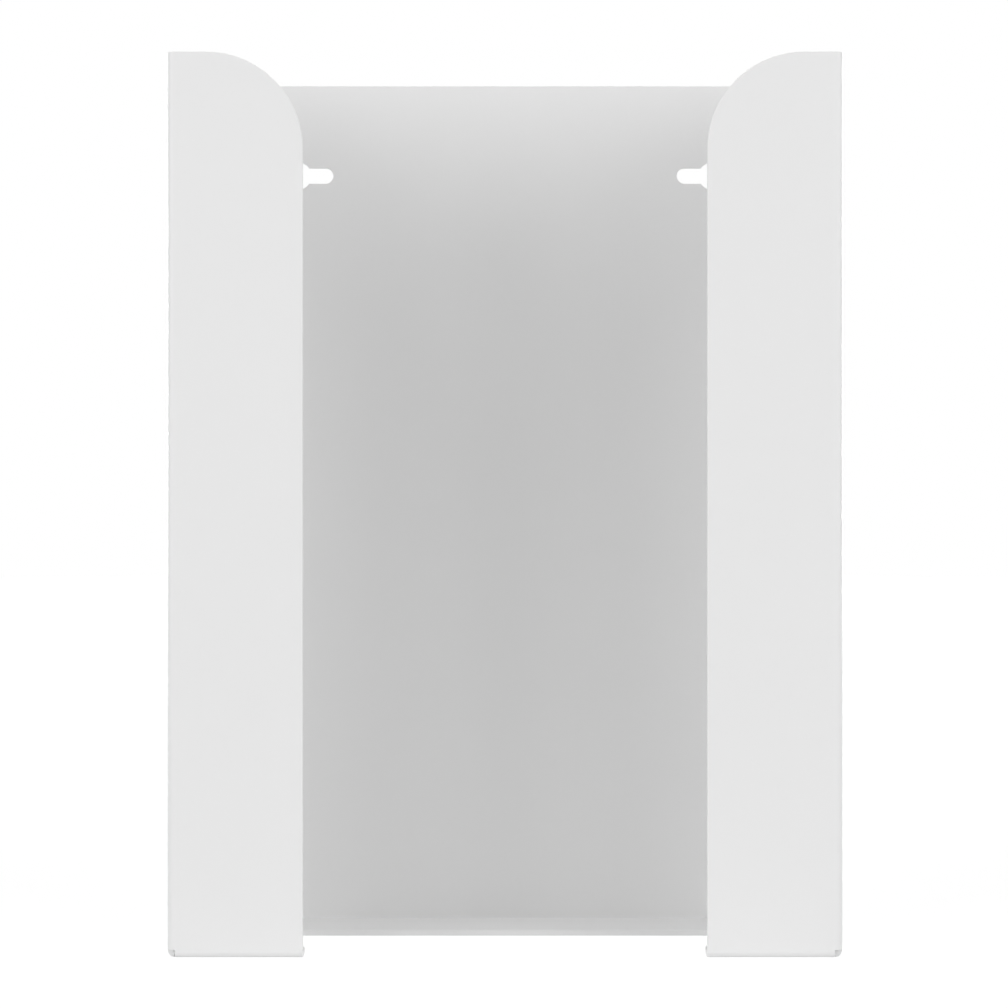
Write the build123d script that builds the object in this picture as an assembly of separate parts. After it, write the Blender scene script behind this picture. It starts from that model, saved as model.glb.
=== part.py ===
from build123d import *
from math import sqrt
import os

# A wall holder for cartons of disposable gloves, cut and folded from one coated steel sheet.
# The back stands against a wall at +Y, the open front faces -Y, and z = 0 is the underside of the bottom tabs.
# Every size is in millimetres.

# The holder, over its outer faces
width = 254.0
depth = 95.0
height = 340.5

# The sheet with its coat, and how it is folded
sheet = 2.1
bend_inside = 0.5

# The open front, between two flanges that are rounded at their top inner corners
front_gap = 152.0
flange_corner = 36.5

# The bottom tabs that the cartons stand on, folded in from every wall and mitred where they meet
front_tab = 25.0
side_tab = 20.0
back_tab = 36.5
mitre_gap = 0.5
tab_corner = 3.0
front_tab_corner = 12.5

# The keyholes in the back: a screw head enters at the round end, and its shank slides to the slot's inner end
screw_spacing = 146.0
screw_drop = 36.5
keyhole_travel = 11.3
head_hole = 11.2
shank_slot = 6.3

# Sizes that follow: three bends meet at each bottom corner, so a square as deep as they are is cut out there
bend_outside = bend_inside + sheet
mitre_setback = mitre_gap / sqrt(2)
corner_relief = bend_outside + mitre_setback
flange = (width - front_gap) / 2
side_face = width / 2
back_face = depth / 2


def bent_sheet(outer_line: Curve, length: float) -> Part:
    """The sheet bent along the line of its outer face, with its thickness on the line's left."""
    section = make_face(offset(outer_line, sheet, side=Side.LEFT, closed=True))
    return extrude(section, length)


def standing_walls() -> Part:
    """The back, both sides and both front flanges, from the corner reliefs up."""
    outer_line = FilletPolyline(
        (front_gap / 2, -back_face),
        (side_face, -back_face),
        (side_face, back_face),
        (-side_face, back_face),
        (-side_face, -back_face),
        (-front_gap / 2, -back_face),
        radius=bend_outside,
    )
    return Pos(Z=corner_relief) * bent_sheet(outer_line, height - corner_relief)


def rounded_flanges(walls: Part) -> Part:
    """The walls with the top inner corner of each front flange rounded."""
    top_edges = walls.edges().filter_by(Axis.Y).group_by(Axis.Z)[-1]
    corners = top_edges.sort_by(Axis.Y)[:2]
    return fillet(corners, min(flange_corner, flange - bend_outside))


def mitred_end(tab: float) -> list[tuple[float, float]]:
    """The end of a tab at a corner of the holder: along the relief, then up the mitre."""
    return [
        (corner_relief, 0),
        (corner_relief, bend_outside),
        (tab + mitre_setback, tab),
    ]


def bottom_fold(length: float, tab: float, free_corner: float | None = None) -> Part:
    """The bend and tab under one wall, from a corner of the holder at the origin along +X, with the tab to +Y.

    The far end is mitred too, or it is square with one rounded corner, of radius free_corner where the tab's
    edge has room for it.
    """
    section = FilletPolyline((0, corner_relief), (0, 0), (tab, 0), radius=bend_outside)
    folded = Plane.YZ * bent_sheet(section, length)
    near_end = mitred_end(tab)
    if free_corner is None:
        far_end = [(length - x, y) for x, y in near_end]
        far_radius = tab_corner
    else:
        far_end = [(length, 0), (length, tab)]
        tab_edge = length - tab - mitre_setback
        far_radius = min(free_corner, tab_edge - tab_corner)
    plan = make_face(Polyline(*near_end, *reversed(far_end), close=True))
    near_corner, far_corner = plan.vertices().group_by(Axis.Y)[-1].sort_by(Axis.X)
    plan = fillet(far_corner, far_radius)
    near_corner = plan.vertices().sort_by_distance(near_corner)[0]
    plan = fillet(near_corner, tab_corner)
    return folded & extrude(plan, corner_relief)


def keyhole() -> Part:
    """The cutter of the keyhole at +X: its slot points inwards, towards the other keyhole."""
    seat = screw_spacing / 2
    entry = seat + keyhole_travel
    outline = Pos(seat) * Circle(shank_slot / 2) + Pos(entry) * Circle(head_hole / 2)
    outline += Pos((seat + entry) / 2) * Rectangle(keyhole_travel, shank_slot)
    on_back = Plane(origin=(0, back_face, height - screw_drop), x_dir=(1, 0, 0), z_dir=(0, -1, 0))
    return extrude(on_back * outline, sheet)


back_fold = Pos(side_face, back_face) * Rot(Z=180) * bottom_fold(width, back_tab)
side_fold = Pos(side_face, -back_face) * Rot(Z=90) * bottom_fold(depth, side_tab)
front_fold = Pos(-side_face, -back_face) * bottom_fold(flange, front_tab, front_tab_corner)

holder = rounded_flanges(standing_walls()) + back_fold
for fold in (side_fold, front_fold):
    holder += [fold, mirror(fold, Plane.YZ)]
holder -= [keyhole(), mirror(keyhole(), Plane.YZ)]

os.makedirs("parts", exist_ok=True)
export_step(holder, "parts/folded_holder.step")
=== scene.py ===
"""The looks of a wall holder for cartons of disposable gloves: one steel sheet, folded and coated white.

The sheet is modelled as it is folded. The back comes first, and every other wall and tab runs on from it over a
true bend. The outer faces made in this way get the sheet's thickness, the keyholes are cut, and the coat softens
each cut edge. Round the holder stand a pale floor, soft lamps and the camera. Lengths are in metres.
"""

import logging
import math
from collections.abc import Callable
from dataclasses import dataclass, field
from enum import Enum

import bmesh
import bpy
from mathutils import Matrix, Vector


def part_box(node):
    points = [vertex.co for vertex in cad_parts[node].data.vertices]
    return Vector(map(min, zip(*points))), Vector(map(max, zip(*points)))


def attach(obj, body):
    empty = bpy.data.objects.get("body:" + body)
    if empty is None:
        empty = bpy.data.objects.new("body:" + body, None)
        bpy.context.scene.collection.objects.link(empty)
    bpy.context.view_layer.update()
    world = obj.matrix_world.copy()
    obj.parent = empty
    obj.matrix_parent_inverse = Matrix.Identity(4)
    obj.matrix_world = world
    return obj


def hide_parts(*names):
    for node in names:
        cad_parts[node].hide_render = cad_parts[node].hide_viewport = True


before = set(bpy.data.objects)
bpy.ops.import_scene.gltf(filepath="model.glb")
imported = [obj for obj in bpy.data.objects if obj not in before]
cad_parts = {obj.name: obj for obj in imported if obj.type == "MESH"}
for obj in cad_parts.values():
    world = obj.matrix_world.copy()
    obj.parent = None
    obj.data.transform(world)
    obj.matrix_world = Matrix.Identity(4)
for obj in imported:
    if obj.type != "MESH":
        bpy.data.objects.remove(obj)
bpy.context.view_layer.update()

MM = 0.001
NEAR = 0.01 * MM
QUARTER_TURN = math.pi / 2
EIGHTH_TURN = math.pi / 4
ARC_PROFILE = 0.5

RIGHTWARDS = Vector((1, 0, 0))
WALLWARDS = Vector((0, 1, 0))
UPWARDS = Vector((0, 0, 1))

log = logging.getLogger("holder")


class Side(Enum):
    """A side of the holder as seen from the front, with its direction along X."""

    LEFT = -1
    RIGHT = 1

    @property
    def outwards(self) -> Vector:
        """The direction away from the holder's middle."""
        return RIGHTWARDS * self.value


class End(Enum):
    """How a tab's end is cut."""

    MITRED = "mitred"
    SQUARE = "square"


def start_alone() -> None:
    """Leaves nothing selected, so that the next operator acts on its own piece alone."""
    bpy.ops.object.select_all(action="DESELECT")


def apply_modifier(piece: bpy.types.Object, kind: str, **settings: object) -> None:
    """Adds a modifier to the active piece and applies it.

    Args:
        piece: The piece, which is active and in object mode.
        kind: The modifier's type.
        settings: The modifier's own settings, by name.
    """
    modifier = piece.modifiers.new(kind.lower(), kind)
    for name, value in settings.items():
        setattr(modifier, name, value)
    bpy.ops.object.modifier_apply(modifier=modifier.name)


@dataclass(frozen=True)
class SheetMetal:
    """The coated sheet and how it is bent."""

    thickness: float = 2.1 * MM
    bend_inside: float = 0.5 * MM
    mitre_gap: float = 0.5 * MM
    bend_steps: int = 10
    coat_round: float = 0.2 * MM
    coat_steps: int = 3
    # The coat rounds an edge that turns by more than the first angle, and shading keeps one past the second crisp.
    rounded_degrees: float = 60.0
    crisp_degrees: float = 45.0

    @property
    def bend_outside(self) -> float:
        """The radius of a bend's outer face."""
        return self.bend_inside + self.thickness

    @property
    def shoulder(self) -> float:
        """The flat between a bend and the corner relief, which also sets back each mitre."""
        return self.mitre_gap / math.sqrt(2)

    @property
    def relief(self) -> float:
        """The side of the square cut out where three bends meet."""
        return self.bend_outside + self.shoulder


class Fold:
    """Draws a sheet's outer faces: works on from one edge, straight or over a bend."""

    def __init__(self, sheet: bpy.types.Object, metal: SheetMetal) -> None:
        """Starts work on a sheet.

        Args:
            sheet: The mesh, active and in edit mode.
            metal: The sheet's thickness and bends.
        """
        self.sheet = sheet
        self.metal = metal
        self.heading = UPWARDS

    def take(self, start: Vector, end: Vector, heading: Vector) -> None:
        """Selects the edge between two points, to work on from it.

        Args:
            start: One end of the edge.
            end: The other end.
            heading: The way that the sheet runs on from the edge.
        """
        bpy.ops.mesh.select_mode(type="EDGE")
        self._select(lambda mesh: mesh.edges, lambda edge: all(
            (vert.co - start).length + (vert.co - end).length < (end - start).length + NEAR
            for vert in edge.verts
        ))
        self.heading = heading

    def run(self, length: float) -> None:
        """Runs the sheet straight on by a length."""
        bpy.ops.mesh.extrude_region_move(TRANSFORM_OT_translate={"value": self.heading * length})

    def bend(self, inwards: Vector) -> None:
        """Folds the sheet by a right angle.

        Args:
            inwards: The way that the sheet heads after the bend.
        """
        pivot = self._middle() + inwards * self.metal.bend_outside
        bpy.ops.mesh.spin(
            steps=self.metal.bend_steps,
            angle=QUARTER_TURN,
            center=pivot,
            axis=inwards.cross(self.heading),
        )
        self.heading = inwards

    def narrow(self, along: Vector, share: float, fixed: Vector) -> None:
        """Shortens the edge in hand.

        Args:
            along: The edge's direction, along an axis.
            share: The share of its length that stays.
            fixed: The point that stays in place.
        """
        stretch = Vector((1, 1, 1)) + Vector(map(abs, along)) * (share - 1)
        bpy.ops.transform.resize(value=stretch, center_override=fixed)

    def round_corner(self, corner: Vector, radius: float, turn: float, steps: int) -> None:
        """Rounds a corner of the sheet.

        Args:
            corner: Where the corner is.
            radius: The radius that it gets.
            turn: The angle by which the outline turns there.
            steps: The number of chords that the arc is made of.
        """
        bpy.ops.mesh.select_mode(type="VERT")
        self._select(lambda mesh: mesh.verts, lambda vert: (vert.co - corner).length < NEAR)
        bpy.ops.mesh.bevel(
            offset_type="ABSOLUTE",
            offset=radius * math.tan(turn / 2),
            segments=steps,
            profile=ARC_PROFILE,
            affect="VERTICES",
        )

    def _select(self, kind: Callable, wanted: Callable) -> None:
        """Selects the mesh's elements of one kind that pass a test.

        Args:
            kind: Gives the elements of a mesh, such as its edges.
            wanted: The test, of one element.
        """
        bpy.ops.mesh.select_all(action="DESELECT")
        mesh = bmesh.from_edit_mesh(self.sheet.data)
        for element in kind(mesh):
            if wanted(element):
                element.select_set(True)
        mesh.select_flush_mode()
        bmesh.update_edit_mesh(self.sheet.data)

    def _middle(self) -> Vector:
        """Finds the middle of what is selected.

        Returns:
            The mean of the selected points.
        """
        mesh = bmesh.from_edit_mesh(self.sheet.data)
        chosen = [vert.co for vert in mesh.verts if vert.select]
        return sum(chosen, Vector()) / len(chosen)


@dataclass(frozen=True)
class Keyhole:
    """A hole in the back: a screw's head enters at the round end, and its shank slides to the slot's end."""

    seat: float = 73.0 * MM
    travel: float = 11.3 * MM
    head_radius: float = 5.6 * MM
    slot_radius: float = 3.15 * MM
    drop: float = 36.5 * MM
    head_steps: int = 64
    slot_steps: int = 16


@dataclass(frozen=True)
class PowderCoat:
    """A smooth, satin white powder coat, with the faint orange peel that it dries to."""

    name: str = "white_powder_coat"
    white: float = 0.92
    shade: float = 0.905
    roughness: tuple[float, float] = (0.40, 0.46)
    drift_per_metre: float = 14.0
    drift_detail: float = 2.0
    peel_per_metre: float = 420.0
    peel_detail: float = 1.0
    grain_per_metre: float = 2600.0
    grain_detail: float = 0.0
    peel_height: float = 0.012 * MM
    grain_share: float = 0.15

    def material(self) -> bpy.types.Material:
        """Makes the coat's material.

        Returns:
            The material, with its colour, gloss and orange peel varying over the sheet.
        """
        made = bpy.data.materials.new(self.name)
        made.use_nodes = True
        tree = made.node_tree
        tree.nodes.clear()
        place = tree.nodes.new("ShaderNodeTexCoord").outputs["Object"]

        def noise(per_metre: float, detail: float) -> bpy.types.NodeSocket:
            """Adds a noise over the sheet, of so many grains per metre."""
            node = tree.nodes.new("ShaderNodeTexNoise")
            node.inputs["Scale"].default_value = per_metre
            node.inputs["Detail"].default_value = detail
            tree.links.new(place, node.inputs["Vector"])
            return node.outputs["Fac"]

        drift = noise(self.drift_per_metre, self.drift_detail)
        peel = noise(self.peel_per_metre, self.peel_detail)
        grain = noise(self.grain_per_metre, self.grain_detail)

        colour = tree.nodes.new("ShaderNodeMix")
        colour.data_type = "RGBA"
        colour.inputs["A"].default_value = (self.shade, self.shade, self.shade, 1)
        colour.inputs["B"].default_value = (self.white, self.white, self.white, 1)
        tree.links.new(drift, colour.inputs["Factor"])

        gloss = tree.nodes.new("ShaderNodeMapRange")
        gloss.inputs["To Min"].default_value = self.roughness[0]
        gloss.inputs["To Max"].default_value = self.roughness[1]
        tree.links.new(peel, gloss.inputs["Value"])

        height = tree.nodes.new("ShaderNodeMix")
        height.data_type = "FLOAT"
        height.inputs["Factor"].default_value = self.grain_share
        tree.links.new(peel, height.inputs["A"])
        tree.links.new(grain, height.inputs["B"])
        bump = tree.nodes.new("ShaderNodeBump")
        bump.inputs["Distance"].default_value = self.peel_height
        tree.links.new(height.outputs["Result"], bump.inputs["Height"])

        coat = tree.nodes.new("ShaderNodeBsdfPrincipled")
        tree.links.new(colour.outputs["Result"], coat.inputs["Base Color"])
        tree.links.new(gloss.outputs["Result"], coat.inputs["Roughness"])
        tree.links.new(bump.outputs["Normal"], coat.inputs["Normal"])
        output = tree.nodes.new("ShaderNodeOutputMaterial")
        tree.links.new(coat.outputs["BSDF"], output.inputs["Surface"])
        return made


@dataclass
class FoldedHolder:
    """The whole holder: one sheet with a back, two sides, two front flanges and a tab under each wall."""

    low: Vector
    high: Vector
    metal: SheetMetal = field(default_factory=SheetMetal)
    keyhole: Keyhole = field(default_factory=Keyhole)
    finish: PowderCoat = field(default_factory=PowderCoat)
    node: str = "folded_holder"
    slot: str = "white_coat"
    front_gap: float = 152.0 * MM
    flange_corner: float = 36.5 * MM
    front_tab: float = 25.0 * MM
    side_tab: float = 20.0 * MM
    back_tab: float = 36.5 * MM
    tab_corner: float = 3.0 * MM
    front_tab_corner: float = 12.5 * MM
    wide_arc_steps: int = 40
    small_arc_steps: int = 8

    @property
    def half_width(self) -> float:
        """From the holder's middle to a side's outer face."""
        return (self.high.x - self.low.x) / 2

    @property
    def half_depth(self) -> float:
        """From the holder's middle to the back's or a flange's outer face."""
        return (self.high.y - self.low.y) / 2

    @property
    def flange_edge(self) -> float:
        """From the holder's middle to a flange's free edge."""
        return self.front_gap / 2

    def build(self) -> bpy.types.Object:
        """Models, coats and places the holder.

        Returns:
            The finished piece, in the place of the CAD node.
        """
        piece = self._draw_back()
        fold = Fold(piece, self.metal)
        for side in Side:
            self._draw_side(fold, side)
        self._draw_tabs(fold)
        bpy.ops.mesh.select_all(action="SELECT")
        bpy.ops.mesh.remove_doubles(threshold=NEAR)
        bpy.ops.mesh.normals_make_consistent(inside=False)
        bpy.ops.object.mode_set(mode="OBJECT")
        self._thicken(piece)
        for side in Side:
            self._cut_keyhole(piece, side)
        self._soften(piece)
        piece.data.materials.clear()
        piece.data.materials.append(self.finish.material())
        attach(piece, "root")
        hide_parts(self.node)
        return piece

    def _draw_back(self) -> bpy.types.Object:
        """Draws the back between its corner reliefs, and goes into edit mode.

        Returns:
            The sheet, so far its back alone.
        """
        start_alone()
        middle = Vector((0, self.high.y, (self.high.z + self.low.z + self.metal.relief) / 2))
        bpy.ops.mesh.primitive_plane_add(size=1, location=middle, rotation=(-QUARTER_TURN, 0, 0))
        piece = bpy.context.object
        piece.name = piece.data.name = "folded_sheet"
        wide = 2 * (self.half_width - self.metal.relief)
        tall = self.high.z - self.low.z - self.metal.relief
        piece.scale = (wide, tall, 1)
        bpy.ops.object.transform_apply(location=True, rotation=True, scale=True)
        bpy.ops.object.mode_set(mode="EDIT")
        return piece

    def _draw_side(self, fold: Fold, side: Side) -> None:
        """Runs the sheet on from the back into a side wall and its front flange.

        Args:
            fold: The work on the sheet.
            side: The side of the holder that gets the wall.
        """
        metal = self.metal
        edge = side.outwards * (self.half_width - metal.relief) + WALLWARDS * self.high.y
        lowest = UPWARDS * (self.low.z + metal.relief)
        fold.take(edge + lowest, edge + UPWARDS * self.high.z, side.outwards)
        fold.run(metal.shoulder)
        fold.bend(-WALLWARDS)
        fold.run(metal.shoulder)
        fold.run(2 * (self.half_depth - metal.relief))
        fold.run(metal.shoulder)
        fold.bend(-side.outwards)
        fold.run(metal.shoulder)
        fold.run(self.half_width - metal.relief - self.flange_edge)
        corner = side.outwards * self.flange_edge + WALLWARDS * self.low.y + UPWARDS * self.high.z
        fold.round_corner(corner, self.flange_corner, QUARTER_TURN, self.wide_arc_steps)

    def _draw_tabs(self, fold: Fold) -> None:
        """Folds a tab inwards from the bottom of every wall.

        Args:
            fold: The work on the sheet.
        """
        inner_x = self.half_width - self.metal.relief
        inner_y = self.half_depth - self.metal.relief
        self._draw_tab(
            fold,
            Vector((-inner_x, self.high.y, 0)),
            Vector((inner_x, self.high.y, 0)),
            -WALLWARDS,
            self.back_tab,
            End.MITRED,
        )
        for side in Side:
            face = side.outwards * self.half_width
            self._draw_tab(
                fold,
                face - WALLWARDS * inner_y,
                face + WALLWARDS * inner_y,
                -side.outwards,
                self.side_tab,
                End.MITRED,
            )
            self._draw_tab(
                fold,
                side.outwards * self.flange_edge + WALLWARDS * self.low.y,
                side.outwards * inner_x + WALLWARDS * self.low.y,
                WALLWARDS,
                self.front_tab,
                End.SQUARE,
            )

    def _draw_tab(
        self, fold: Fold, start: Vector, end: Vector, inwards: Vector, depth: float, start_cut: End
    ) -> None:
        """Folds one tab inwards, mitres its ends and rounds its corners.

        Args:
            fold: The work on the sheet.
            start: One end of the wall's lower edge, in plan.
            end: The other end, at a corner of the holder, where the tab is always mitred.
            inwards: The way that the tab points.
            depth: How far the tab reaches in from the wall's outer face.
            start_cut: How the tab is cut at the start.
        """
        metal = self.metal
        lift = UPWARDS * (self.low.z + metal.relief)
        fold.take(start + lift, end + lift, -UPWARDS)
        fold.run(metal.shoulder)
        fold.bend(inwards)
        fold.run(depth - metal.bend_outside)
        length = (end - start).length
        along = (end - start) / length
        taper = depth - metal.bend_outside
        reach = inwards * depth + UPWARDS * self.low.z
        if start_cut is End.MITRED:
            fold.narrow(along, 1 - 2 * taper / length, (start + end) / 2)
            fold.round_corner(start + reach + along * taper, self.tab_corner, EIGHTH_TURN, self.small_arc_steps)
        else:
            fold.narrow(along, 1 - taper / length, start)
            fold.round_corner(start + reach, self.front_tab_corner, QUARTER_TURN, 2 * self.small_arc_steps)
        fold.round_corner(end + reach - along * taper, self.tab_corner, EIGHTH_TURN, self.small_arc_steps)

    def _thicken(self, piece: bpy.types.Object) -> None:
        """Gives the outer faces the sheet's thickness, inwards.

        Args:
            piece: The folded sheet, active and in object mode.
        """
        apply_modifier(
            piece,
            "SOLIDIFY",
            thickness=self.metal.thickness,
            offset=-1,
            use_even_offset=True,
            use_quality_normals=True,
        )

    def _cut_keyhole(self, piece: bpy.types.Object, side: Side) -> None:
        """Cuts one keyhole through the back, with its slot towards the middle.

        Args:
            piece: The folded sheet.
            side: The side of the back that gets the keyhole.
        """
        hole = self.keyhole
        depth = 4 * self.metal.thickness
        level = WALLWARDS * (self.high.y - self.metal.thickness / 2) + UPWARDS * (self.high.z - hole.drop)
        start_alone()
        bpy.ops.mesh.primitive_cylinder_add(
            vertices=hole.head_steps,
            radius=hole.head_radius,
            depth=depth,
            location=side.outwards * (hole.seat + hole.travel) + level,
            rotation=(QUARTER_TURN, 0, 0),
        )
        self._cut(piece, bpy.context.object)
        bpy.ops.mesh.primitive_cube_add(
            size=1,
            location=side.outwards * (hole.seat + hole.travel / 2) + level,
            scale=(hole.travel + 2 * hole.slot_radius, depth, 2 * hole.slot_radius),
        )
        slot = bpy.context.object
        bpy.ops.object.transform_apply(location=False, rotation=False, scale=True)
        bpy.ops.object.mode_set(mode="EDIT")
        bpy.ops.mesh.select_mode(type="EDGE")
        bpy.ops.mesh.select_all(action="DESELECT")
        mesh = bmesh.from_edit_mesh(slot.data)
        for edge in mesh.edges:
            run = edge.verts[0].co - edge.verts[1].co
            edge.select_set(abs(run.y) > NEAR)
        bmesh.update_edit_mesh(slot.data)
        bpy.ops.mesh.bevel(offset=hole.slot_radius, segments=hole.slot_steps, profile=ARC_PROFILE, affect="EDGES")
        bpy.ops.mesh.select_all(action="SELECT")
        bpy.ops.mesh.remove_doubles(threshold=NEAR)
        bpy.ops.object.mode_set(mode="OBJECT")
        self._cut(piece, slot)

    def _cut(self, piece: bpy.types.Object, cutter: bpy.types.Object) -> None:
        """Cuts the piece by a cutter, and removes the cutter.

        Args:
            piece: The folded sheet.
            cutter: What is cut out of it.
        """
        start_alone()
        bpy.context.view_layer.objects.active = piece
        piece.select_set(True)
        apply_modifier(piece, "BOOLEAN", operation="DIFFERENCE", solver="EXACT", object=cutter)
        bpy.data.objects.remove(cutter)

    def _soften(self, piece: bpy.types.Object) -> None:
        """Rounds each cut edge by the coat, and shades the flats flat and the bends smooth.

        Args:
            piece: The folded sheet.
        """
        start_alone()
        bpy.context.view_layer.objects.active = piece
        piece.select_set(True)
        apply_modifier(
            piece,
            "BEVEL",
            width=self.metal.coat_round,
            segments=self.metal.coat_steps,
            limit_method="ANGLE",
            angle_limit=math.radians(self.metal.rounded_degrees),
            use_clamp_overlap=False,
        )
        bpy.ops.object.shade_smooth_by_angle(angle=math.radians(self.metal.crisp_degrees))
        apply_modifier(piece, "WEIGHTED_NORMAL", mode="FACE_AREA", keep_sharp=True)


@dataclass(frozen=True)
class SoftLamp:
    """A wide soft lamp so far away that it lights every part of the holder alike."""

    name: str
    azimuth: float
    elevation: float
    strength: float
    spread: float = 40.0

    def hang(self) -> bpy.types.Object:
        """Hangs the lamp, azimuth 0 being in front of the holder and 90 to its right.

        Returns:
            The lamp.
        """
        turn, rise = math.radians(self.azimuth), math.radians(self.elevation)
        away = Vector((math.sin(turn) * math.cos(rise), -math.cos(turn) * math.cos(rise), math.sin(rise)))
        start_alone()
        bpy.ops.object.light_add(type="SUN", location=away)
        lamp = bpy.context.object
        lamp.name = self.name
        lamp.rotation_euler = away.to_track_quat("Z", "Y").to_euler()
        lamp.data.angle = math.radians(self.spread)
        lamp.data.energy = self.strength
        return lamp


@dataclass(frozen=True)
class PhotoCamera:
    """The photograph's view: level, square to the front, with a long lens."""

    distance: float = 1.122
    lens: float = 106.7
    image_side: int = 1008
    centre_column: float = 505.03
    centre_row: float = 504.86

    def place(self, low: Vector, high: Vector) -> bpy.types.Object:
        """Stands the camera in front of the holder, level with its middle.

        Args:
            low: The lowest corner of the holder's box.
            high: The highest corner.

        Returns:
            The camera, set as the scene's own.
        """
        start_alone()
        bpy.ops.object.camera_add(
            location=(0, low.y - self.distance, (low.z + high.z) / 2), rotation=(QUARTER_TURN, 0, 0)
        )
        camera = bpy.context.object
        camera.name = "photo_camera"
        camera.data.lens = self.lens
        camera.data.shift_x = (self.image_side / 2 - self.centre_column) / self.image_side
        camera.data.shift_y = (self.centre_row - self.image_side / 2) / self.image_side
        bpy.context.scene.camera = camera
        return camera


@dataclass(frozen=True)
class Studio:
    """A pale floor, an even white surround and soft lamps."""

    floor_radius: float = 6.0
    floor_steps: int = 96
    floor_glow: float = 0.74
    floor_catch: float = 0.46
    floor_bounce: float = 0.60
    floor_light: float = 0.224
    ambient: float = 0.06
    lamps: tuple[SoftLamp, ...] = (
        SoftLamp("lamp_top", 0, 90, 0.785),
        SoftLamp("lamp_left_front", -45, 20, 0.83, 60),
        SoftLamp("lamp_right_front", 45, 20, 0.83, 60),
        SoftLamp("lamp_left_low", -60, 8, 0.77),
        SoftLamp("lamp_right_low", 60, 8, 0.77),
        SoftLamp("lamp_left_rear", -150, 3, 0.85, 8),
        SoftLamp("lamp_right_rear", 150, 3, 0.85, 8),
    )

    def build(self, holder: FoldedHolder) -> None:
        """Sets up the floor, the surround, the lamps and the picture's colours.

        Args:
            holder: The holder, which stands on the floor.
        """
        self._lay_floor(holder.low.z)
        self._light_surround()
        for lamp in self.lamps:
            lamp.hang()
        bpy.context.scene.view_settings.view_transform = "Standard"

    def _lay_floor(self, level: float) -> None:
        """Lays a round pale floor that looks white but keeps a faint shadow of the holder.

        Args:
            level: The height that it lies at.
        """
        start_alone()
        bpy.ops.mesh.primitive_circle_add(
            vertices=self.floor_steps, radius=self.floor_radius, fill_type="NGON", location=(0, 0, level)
        )
        floor = bpy.context.object
        floor.name = "studio_floor"
        made = bpy.data.materials.new("pale_floor")
        made.use_nodes = True
        tree = made.node_tree
        tree.nodes.clear()
        seen = self._seen(tree)
        glow = tree.nodes.new("ShaderNodeEmission")
        glow.inputs["Strength"].default_value = self.floor_glow
        catch = tree.nodes.new("ShaderNodeBsdfDiffuse")
        catch.inputs["Color"].default_value = (self.floor_catch,) * 3 + (1,)
        white = tree.nodes.new("ShaderNodeAddShader")
        tree.links.new(glow.outputs["Emission"], white.inputs[0])
        tree.links.new(catch.outputs["BSDF"], white.inputs[1])
        lit = tree.nodes.new("ShaderNodeEmission")
        lit.inputs["Strength"].default_value = self.floor_light
        throw = tree.nodes.new("ShaderNodeBsdfDiffuse")
        throw.inputs["Color"].default_value = (self.floor_bounce,) * 3 + (1,)
        pale = tree.nodes.new("ShaderNodeAddShader")
        tree.links.new(lit.outputs["Emission"], pale.inputs[0])
        tree.links.new(throw.outputs["BSDF"], pale.inputs[1])
        choice = tree.nodes.new("ShaderNodeMixShader")
        tree.links.new(seen, choice.inputs[0])
        tree.links.new(pale.outputs["Shader"], choice.inputs[1])
        tree.links.new(white.outputs["Shader"], choice.inputs[2])
        output = tree.nodes.new("ShaderNodeOutputMaterial")
        tree.links.new(choice.outputs["Shader"], output.inputs["Surface"])
        floor.data.materials.append(made)

    def _light_surround(self) -> None:
        """Makes the surround white to look at, and a plain grey level as a light."""
        world = bpy.data.worlds.new("white_surround")
        world.use_nodes = True
        tree = world.node_tree
        tree.nodes.clear()
        seen = self._seen(tree)
        white = tree.nodes.new("ShaderNodeBackground")
        light = tree.nodes.new("ShaderNodeBackground")
        white.inputs["Color"].default_value = light.inputs["Color"].default_value = (1, 1, 1, 1)
        white.inputs["Strength"].default_value = 1
        light.inputs["Strength"].default_value = self.ambient
        choice = tree.nodes.new("ShaderNodeMixShader")
        tree.links.new(seen, choice.inputs[0])
        tree.links.new(light.outputs["Background"], choice.inputs[1])
        tree.links.new(white.outputs["Background"], choice.inputs[2])
        output = tree.nodes.new("ShaderNodeOutputWorld")
        tree.links.new(choice.outputs["Shader"], output.inputs["Surface"])
        bpy.context.scene.world = world

    def _seen(self, tree: bpy.types.NodeTree) -> bpy.types.NodeSocket:
        """Adds the test of whether the eye sees this, straight or mirrored in something.

        Args:
            tree: The nodes that the test joins.

        Returns:
            The test's result, 1 where it is seen.
        """
        path = tree.nodes.new("ShaderNodeLightPath")
        seen = path.outputs["Is Camera Ray"]
        for ray in ("Is Glossy Ray", "Is Transmission Ray"):
            either = tree.nodes.new("ShaderNodeMath")
            either.operation = "MAXIMUM"
            tree.links.new(seen, either.inputs[0])
            tree.links.new(path.outputs[ray], either.inputs[1])
            seen = either.outputs["Value"]
        return seen


def main() -> None:
    """Builds the holder, then the studio and the camera, and logs the sheet's face count and how far in front the
    camera stands.
    """
    logging.basicConfig(level=logging.INFO, format="%(name)s: %(message)s")
    low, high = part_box("folded_holder")
    holder = FoldedHolder(Vector(low), Vector(high))
    piece = holder.build()
    log.info("%s has %d faces", piece.name, len(piece.data.polygons))
    Studio().build(holder)
    camera = PhotoCamera().place(holder.low, holder.high)
    log.info("%s stands %.3f m in front", camera.name, -camera.location.y)


if __name__ == "__main__":
    main()
